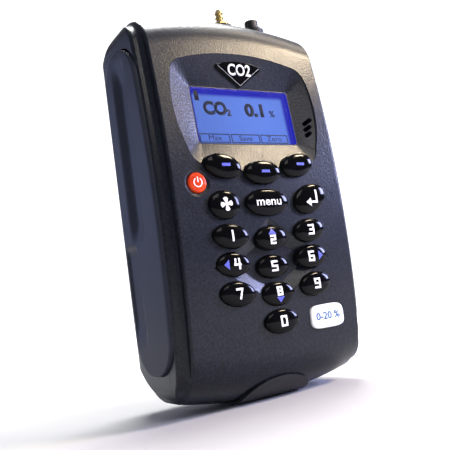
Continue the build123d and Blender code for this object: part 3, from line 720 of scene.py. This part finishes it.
# ---------------------------------------------------------------- operators
class MONITOR_OT_finishes(bpy.types.Operator):
    """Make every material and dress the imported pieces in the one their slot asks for"""

    bl_idname = "monitor.finishes"
    bl_label = "Finish the packed pieces"

    def execute(self, context):
        """Assign by slot; the foot shares the grips' slot but has its own rubber."""
        FINISHES.update(make_finishes(context.scene.monitor_looks))
        for part in frame["record"]["subparts"]:
            name = part["node"]
            finish = "foot" if name == "foot" else part["material_slot"]
            frame["nodes"][name].data.materials.clear()
            frame["nodes"][name].data.materials.append(FINISHES[finish])
        return {"FINISHED"}


class MONITOR_OT_keys(bpy.types.Operator):
    """Model the domed key caps"""

    bl_idname = "monitor.keys"
    bl_label = "Key caps"

    def execute(self, context):
        """Each cap has a flange, a satin side and a glossy resin crown."""
        crown = context.scene.monitor_sizes.crown / MM
        lip, thick = 0.7, 1.1  # flange behind the face
        drop = 0.55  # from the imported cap's top down to the foot of its dome
        for name, (half_x, half_y, turn) in KEY_SHAPES.items():
            low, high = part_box(name)
            lift = 0.5 if name == "key_power" else 1.0
            edge = (high.y - low.y) / MM - drop
            rings = [(-lip, 0), (-lip, thick), (0, thick), (0, edge - 0.35), (0.08, edge - 0.12), (0.3, edge)]
            for share in (0.12, 0.2, 0.32, 0.48, 0.68, 0.86):
                rings.append((share * half_y, edge + crown * lift * (1 - (1 - share) ** 2.4)))
            cap = ringed(half_x, half_y, rings)
            gloss = "power_key" if name == "key_power" else "key_gloss"
            cap.data.materials.append(FINISHES[gloss])
            cap.data.materials.append(FINISHES["power_key" if name == "key_power" else "key_side"])
            for face in cap.data.polygons:
                if face.center.z < (edge - 0.3) * MM:
                    face.material_index = 1
            into_place(cap, facing_out((low.x + high.x) / 2, high.y, (low.z + high.z) / 2, turn))
            tidy_mesh(cap, 50)
            settle(cap, name.replace("key_", "cap_"), gloss, name + "_body")
            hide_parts(name)
        return {"FINISHED"}


class MONITOR_OT_legends(bpy.types.Operator):
    """Print the numerals, arrows, dashes and symbols on the keys"""

    bl_idname = "monitor.legends"
    bl_label = "Key legends"

    def put(self, drawing, key, name, finish, shift=(0, 0), turn=0.0):
        """Lay one drawing on one key's cap."""
        low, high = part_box(key)
        middle = (low + high) / 2
        ahead = low.y - PRINT_START * MM
        place = facing_out(middle.x + shift[0] * MM, ahead, middle.z + shift[1] * MM, turn)
        into_place(drawing, place)
        printed_on(drawing, bpy.data.objects[key.replace("key_", "cap_")])
        settle(drawing, name, finish, key + "_body")

    def numerals(self, half):
        """Squared numerals, moved towards the free side of a key that also has an arrow."""
        wide, stroke = 1.35, 0.86  # factor that widens the grid, and thickness in mm
        for digit, lines in NUMERALS.items():
            key = "key_" + digit
            centred = [[(wide * (x - 0.5), y - 1) for x, y in line] for line in lines]
            arrow = ARROWS.get(key, (0, 0, 0))
            shift = (-0.32 * arrow[0], -0.42 * arrow[1])
            drawing = strokes(centred, stroke, half * (0.82 if arrow[1] else 1.0))
            self.put(drawing, key, "numeral_" + digit, "legend", shift)

    def execute(self, context):
        """Numerals first, then arrows, dashes and the three symbol keys."""
        self.numerals(context.scene.monitor_sizes.numeral / MM)
        for key, (x, z, turn) in ARROWS.items():
            arrow = polygon([(-1.95, -1.0), (1.95, -1.0), (0, 1.35)])
            self.put(arrow, key, "arrow_" + key[4:], "arrow", (x, z), turn)
        for side in ("left", "middle", "right"):
            dash = strokes([((-1.4, 0), (1.4, 0))], 1.15)
            self.put(dash, "key_soft_" + side, "dash_" + side, "arrow", (0.6, 0.1))
        self.put(lettering("menu", 3.4, 0.07, 1.15), "key_menu", "menu_word", "legend", (0, 0))
        self.enter_arrow()
        self.fan()
        self.power_sign()
        return {"FINISHED"}

    def enter_arrow(self):
        """Arrow that drops and turns back to the left."""
        stem = strokes([((2.5, 3.0), (2.5, -1.7)), ((2.5, -1.7), (-0.6, -1.7))], 0.95)
        self.put(stem, "key_enter", "enter_stem", "legend")
        head = polygon([(-3.3, -1.7), (-0.6, -3.5), (-0.6, 0.1)])
        self.put(head, "key_enter", "enter_head", "legend")

    def fan(self):
        """Four flared blades round a hub."""
        for blade in range(4):
            flare = polygon([(-0.25, 0.2), (0.25, 0.2), (1.1, 2.0), (0.75, 2.6), (-0.2, 2.8), (-1.05, 2.35)])
            self.put(flare, "key_pump", f"fan_blade_{blade + 1}", "legend", (0, 0), 90 * blade + 8)
        hub = strokes([((-0.2, 0), (0.2, 0))], 0.8)
        self.put(hub, "key_pump", "fan_hub", "legend")

    def power_sign(self):
        """Open ring with a bar in its gap."""
        radius, stroke = 1.75, 0.42
        turns = [math.radians(130 + 280 * step / 14) for step in range(15)]
        points = [(radius * math.cos(turn), radius * math.sin(turn)) for turn in turns]
        ring = strokes(list(zip(points, points[1:])), stroke)
        self.put(ring, "key_power", "power_ring", "legend")
        bar = strokes([((0, 0.3), (0, 2.0))], stroke)
        self.put(bar, "key_power", "power_bar", "legend")


class MONITOR_OT_display(bpy.types.Operator):
    """Draw the lit display behind the window"""

    bl_idname = "monitor.display"
    bl_label = "Display picture"

    def execute(self, context):
        """Reading, battery sign and three soft-key labels, on the plane of the window."""
        low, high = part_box("display_glass")
        window_low, window_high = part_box("display_window")
        lean = math.degrees(math.atan2(window_high.y - window_low.y - 1.2 * MM, window_high.z - window_low.z))
        middle = (window_low + window_high) / 2
        half_x = (window_high.x - window_low.x) / 2 / MM
        half_z = (window_high.z - window_low.z) / 2 / MM
        looks = context.scene.monitor_looks
        glass = frame["nodes"]["display_glass"]
        # every drawing with its place, in mm to the right of and above the window's middle
        words = [
            (lettering("CO", 5.4, 0.42, 0.94), (-13.6, 3.2)),
            (lettering("2", 2.6, 0.22, 1.0), (-7.2, 1.6)),
            (lettering(looks.reading, 5.3, 0.4, 1.16), (6.4, 3.0)),
            (lettering("%", 2.9, 0.08, 1.0), (14.8, 1.8)),
        ]
        row = -9.6  # height of the soft-key labels
        box = [(-6.9, -1.8), (6.9, -1.8), (6.9, 1.7), (-6.9, 1.7), (-6.9, -1.8)]
        for spot, word in ((-16.3, "Max"), (-1.4, "Save"), (13.3, "Zero")):
            words.append((lettering(word, 2.3, 0.0, 1.15), (spot, row)))
            words.append((strokes(list(zip(box, box[1:])), 0.4), (spot, row)))
        # battery sign in the upper left corner: its cell, then its cap
        words.append((strokes([((0, -1.0), (0, 1.0))], 2.1), (-half_x + 2.9, half_z - 3.6)))
        words.append((strokes([((0, 0), (0.2, 0))], 0.9), (-half_x + 2.8, half_z - 1.4)))
        for number, (drawing, (x, z)) in enumerate(words):
            ahead = low.y - PRINT_START / 2 * MM
            place = facing_out(middle.x + x * MM, ahead, middle.z + z * MM, 0, -lean)
            into_place(drawing, place)
            printed_on(drawing, glass, 0.03, 1)
            settle(drawing, f"display_mark_{number + 1}", "display_ink")
        return {"FINISHED"}


class MONITOR_OT_grips(bpy.types.Operator):
    """Sculpt the silicone side grips"""

    bl_idname = "monitor.grips"
    bl_label = "Side grips"

    def relief(self, back, height, valley):
        """Dip of the grip's surface in mm at a depth behind its front edge and a height."""

        def ramp(value, start, end):
            share = min(max((value - start) / (end - start), 0.0), 1.0)
            return share * share * (3 - 2 * share)

        # the trough runs from mid height up to the top corner, the pocket lies below it and further back
        upper = ramp(height, 66, 78) * (1 - ramp(height, 134, 146))
        trough = upper * ramp(back, 12.0, 15.5) * (1 - ramp(back, 20.5, 26.5))
        pocket = ramp(height, 27, 40) * (1 - ramp(height, 67.2, 68.2)) * ramp(back, 21.5, 24.5)
        pocket_depth = 1.35
        return valley * trough + pocket_depth * pocket

    def side(self, node, side, valley):
        """One grip on side -1 or 1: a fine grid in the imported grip's outline, dished, then closed."""
        low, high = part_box(node)
        across, along = GRIP_GRID
        deselect()
        bpy.ops.mesh.primitive_grid_add(x_subdivisions=across, y_subdivisions=along, size=2.0)
        grip = bpy.context.object
        corner, edge = GRIP_CORNER * MM, GRIP_EDGE * MM
        for vertex in grip.data.vertices:
            u, v = vertex.co.x, math.sin(vertex.co.y * math.pi / 2)
            z = (low.z + high.z) / 2 + v * (high.z - low.z) / 2
            short = corner - min(z - low.z, high.z - z, corner)
            tuck = corner - math.sqrt(max(corner**2 - short**2, 0))
            crown = (z - GRIP_BOW_HEIGHT * MM) ** 2 / (2 * GRIP_BOW * MM)
            front, back = low.y + crown + tuck, high.y - tuck
            y = (front + back) / 2 + u * (back - front) / 2
            rim = min(y - front, back - y, z - low.z, high.z - z)
            round_off = edge - math.sqrt(max(edge**2 - max(edge - rim, 0) ** 2, 0))
            fade = min(max(rim / (GRIP_MARGIN * MM), 0), 1)
            dip = self.relief((y - low.y) / MM, z / MM, valley) * MM * fade
            vertex.co = (side * (GRIP_FACE * MM - dip - round_off), y, z)
        bpy.ops.object.mode_set(mode="EDIT")
        bpy.ops.mesh.select_all(action="SELECT")
        bpy.ops.mesh.extrude_region_move()
        bpy.ops.transform.resize(value=(0, 1, 1), center_override=(side * GRIP_SEAT * MM, 0, 0))
        bpy.ops.object.mode_set(mode="OBJECT")
        tidy_mesh(grip, 40)
        settle(grip, node.replace("grip", "silicone_grip"), "silicone", "case")
        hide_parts(node)

    def execute(self, context):
        """The right grip mirrors the left one."""
        valley = context.scene.monitor_sizes.valley / MM
        self.side("left_grip", -1, valley)
        self.side("right_grip", 1, valley)
        return {"FINISHED"}


class MONITOR_OT_badges(bpy.types.Operator):
    """Letter the badge and make the domed front label"""

    bl_idname = "monitor.badges"
    bl_label = "Badge and label"

    def execute(self, context):
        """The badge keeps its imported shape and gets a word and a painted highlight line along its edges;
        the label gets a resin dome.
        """
        low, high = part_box("badge")
        word = lettering("CO2", 4.8, 0.14, 0.84)
        ahead = low.y - PRINT_START * MM
        into_place(word, facing_out(0, ahead, low.z + 0.63 * (high.z - low.z), 0, BADGE_LEAN))
        printed_on(word, frame["nodes"]["badge"], 0.06, 1)
        settle(word, "badge_word", "legend")
        wide, tall = (high.x - low.x) / 2 / MM, (high.z - low.z) / MM
        # painted highlight: a thin silver line along the badge's lower edges stands in for the glint on its
        # bevelled rim
        rim = [(-0.9 * wide, 0.79 * tall), (0, 0.06 * tall), (0.9 * wide, 0.79 * tall)]
        outline = strokes(list(zip(rim, rim[1:])), 0.2)
        into_place(outline, facing_out(0, ahead, low.z, 0, BADGE_LEAN))
        printed_on(outline, frame["nodes"]["badge"], 0.05, 2)
        settle(outline, "badge_painted_highlight", "label_silver")

        low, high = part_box("front_label")
        half_x, half_z = (high.x - low.x) / 2 / MM, (high.z - low.z) / 2 / MM
        rings = [(0, 0), (0, 0.55), (0.12, 0.85), (0.4, 1.02), (1.2, 1.12), (2.4, 1.18), (3.8, 1.2)]
        squareness = 4.2
        label = ringed(half_x, half_z, rings, squareness)
        middle = (low + high) / 2
        into_place(label, facing_out(middle.x, high.y, middle.z))
        tidy_mesh(label, 50)
        settle(label, "domed_label", "label_white", "case")
        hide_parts("front_label")
        text = lettering("0-20 %", 2.9, 0.1, 1.1)
        into_place(text, facing_out(middle.x, low.y - PRINT_START * MM, middle.z))
        printed_on(text, label, 0.03, 1)
        settle(text, "label_word", "label_ink")
        return {"FINISHED"}


class MONITOR_OT_stage(bpy.types.Operator):
    """Set the pale floor, the soft lights and the camera"""

    bl_idname = "monitor.stage"
    bl_label = "Stage"

    def sweep(self):
        """Paper sweep, in metres: a floor that curves up behind the monitor into a backdrop."""
        width, front, back, radius, steps, wall = 12, -4.0, 2.4, 1.2, 12, 3.0
        deselect()
        bpy.ops.mesh.primitive_plane_add(size=1.0)
        paper = bpy.context.object
        for vertex in paper.data.vertices:
            vertex.co = (vertex.co.x * width, back if vertex.co.y > 0 else front, 0)
        bpy.ops.object.mode_set(mode="EDIT")
        bpy.ops.mesh.select_all(action="DESELECT")
        bpy.ops.object.mode_set(mode="OBJECT")
        for edge in paper.data.edges:
            edge.select = all(paper.data.vertices[index].co.y > 0 for index in edge.vertices)
        bpy.ops.object.mode_set(mode="EDIT")
        for step in range(steps):
            start, end = (math.pi / 2 * s / steps for s in (step, step + 1))
            move = (0, radius * (math.sin(end) - math.sin(start)), radius * (math.cos(start) - math.cos(end)))
            bpy.ops.mesh.extrude_edges_move(TRANSFORM_OT_translate={"value": move})
        bpy.ops.mesh.extrude_edges_move(TRANSFORM_OT_translate={"value": (0, 0, wall)})
        bpy.ops.object.mode_set(mode="OBJECT")
        only(paper)
        bpy.ops.object.shade_smooth()
        paper.name = "paper_sweep"
        paper.data.materials.append(self.paper_with_painted_glow())

    def paper_with_painted_glow(self):
        """Matt pale paper with painted light: it glows, from none by the monitor to white further back, so
        that it fades into a white backdrop.
        """
        material, tree, place = new_material("paper_with_painted_glow")
        fibres = add_node(tree, "ShaderNodeTexNoise", {"Scale": 1 / (40 * MM)}, {"Vector": place})
        tone = add_node(
            tree,
            "ShaderNodeMix",
            {"data_type": "RGBA", 6: linear("#bcbcbc"), 7: linear("#c2c2c2")},
            {0: fibres.outputs["Fac"]},
        )
        ramps = []
        # painted light: the glow is off by the monitor, where its shadow falls, and grows backwards from it
        # and across it from left to right
        for direction, start, end in (((0, 1, 0), 0.02, 0.4), ((0.978, -0.208, 0), -0.4, -0.16)):
            along = add_node(
                tree, "ShaderNodeVectorMath", {"operation": "DOT_PRODUCT", 1: direction}, {0: place}
            )
            ramps.append(
                add_node(
                    tree,
                    "ShaderNodeMapRange",
                    {"interpolation_type": "SMOOTHSTEP", "From Min": start, "From Max": end, "To Max": 1.03},
                    {"Value": along.outputs["Value"]},
                )
            )
        ramp = add_node(
            tree,
            "ShaderNodeMath",
            {"operation": "MULTIPLY"},
            {0: ramps[0].outputs["Result"], 1: ramps[1].outputs["Result"]},
        )
        close_material(
            tree,
            {"Roughness": 0.9, "Emission Color": (1, 1, 1, 1)},
            {"Base Color": tone.outputs[2], "Emission Strength": ramp.outputs["Value"]},
        )
        return material

    def lamp(self, name, place, aim, size, power, colour):
        """Rectangular soft light that looks from place to aim, in metres and watts."""
        bpy.ops.object.light_add(type="AREA", location=place)
        light = bpy.context.object
        light.name = name
        light.data.shape = "RECTANGLE"
        light.data.size, light.data.size_y = size
        light.data.energy = power
        light.data.color = linear(colour)[:3]
        light.rotation_euler = (Vector(aim) - Vector(place)).to_track_quat("-Z", "Y").to_euler()

    def execute(self, context):
        """Floor, world, six lights and the camera."""
        stage = context.scene.monitor_stage
        self.sweep()
        world = bpy.data.worlds.new("studio")
        world.use_nodes = True
        background = world.node_tree.nodes["Background"]
        background.inputs["Color"].default_value = linear("#e4e8ff")
        background.inputs["Strength"].default_value = 0.30
        context.scene.world = world
        # warm sheen on the top roll, then the floor, then warm light on the wall under the display
        self.lamp("overhead", (0.52, -0.05, 0.78), (0, 0, 0.12), (0.2, 0.32), stage.overhead, "#ffefd6")
        self.lamp("floor_light", (0.2, 0.22, 0.9), (-0.02, 0.0, 0), (0.4, 0.4), 13.0, "#ffffff")
        self.lamp("brow_light", (0.585, -0.50, 0.69), (0, 0, 0.1), (0.2, 0.12), 8.5, "#ffe9c8")
        # cool light on the left wall of the recess and on the left grip, then a weak fill from the front
        self.lamp("right_light", (0.83, -0.42, 0.34), (0, 0, 0.1), (0.25, 0.3), 14.0, "#c0c6ff")
        self.lamp("side_light", (-0.45, 0.72, 0.25), (0, 0, 0.08), (0.25, 0.4), 1.1, "#b8c4ff")
        self.lamp("front_light", (0.1, -0.9, 0.8), (0, 0, 0.08), (0.5, 0.4), 3.0, "#fff8f0")
        bpy.ops.object.camera_add()
        camera = bpy.context.object
        camera.name = "camera"
        camera.data.lens = stage.lens
        camera.data.sensor_width = 36.0
        camera.data.clip_start = 0.01
        camera.matrix_world = (
            Matrix.Translation(stage.stand)
            @ Matrix.Rotation(stage.azimuth, 4, "Z")
            @ Matrix.Rotation(math.pi / 2 - stage.elevation, 4, "X")
            @ Matrix.Rotation(stage.roll, 4, "Z")
        )
        context.scene.camera = camera
        context.scene.view_settings.view_transform = "Standard"
        return {"FINISHED"}


class MONITOR_PT_panel(bpy.types.Panel):
    """Sidebar panel with every step and its settings"""

    bl_idname = "MONITOR_PT_panel"
    bl_label = "Carbon dioxide monitor"
    bl_space_type = "VIEW_3D"
    bl_region_type = "UI"
    bl_category = "Monitor"

    def draw(self, context):
        """List the operators, then the settings."""
        for operator in OPERATORS:
            self.layout.operator(operator.bl_idname)
        for group in (context.scene.monitor_looks, context.scene.monitor_sizes, context.scene.monitor_stage):
            for name in group.__annotations__:
                self.layout.prop(group, name)


GROUPS = (MonitorLooks, MonitorSizes, MonitorStage)
OPERATORS = (
    MONITOR_OT_finishes,
    MONITOR_OT_keys,
    MONITOR_OT_legends,
    MONITOR_OT_display,
    MONITOR_OT_grips,
    MONITOR_OT_badges,
    MONITOR_OT_stage,
)


def register():
    """Register the classes and hang the settings on the scene."""
    for item in (*GROUPS, *OPERATORS, MONITOR_PT_panel):
        bpy.utils.register_class(item)
    bpy.types.Scene.monitor_looks = PointerProperty(type=MonitorLooks)
    bpy.types.Scene.monitor_sizes = PointerProperty(type=MonitorSizes)
    bpy.types.Scene.monitor_stage = PointerProperty(type=MonitorStage)


def unregister():
    """Take the settings and the classes away again."""
    del bpy.types.Scene.monitor_looks
    del bpy.types.Scene.monitor_sizes
    del bpy.types.Scene.monitor_stage
    for item in reversed((*GROUPS, *OPERATORS, MONITOR_PT_panel)):
        bpy.utils.unregister_class(item)


def main():
    """Build everything in order."""
    register()
    bpy.ops.monitor.finishes()
    bpy.ops.monitor.keys()
    bpy.ops.monitor.legends()
    bpy.ops.monitor.display()
    bpy.ops.monitor.grips()
    bpy.ops.monitor.badges()
    bpy.ops.monitor.stage()


if __name__ == "__main__":
    main()
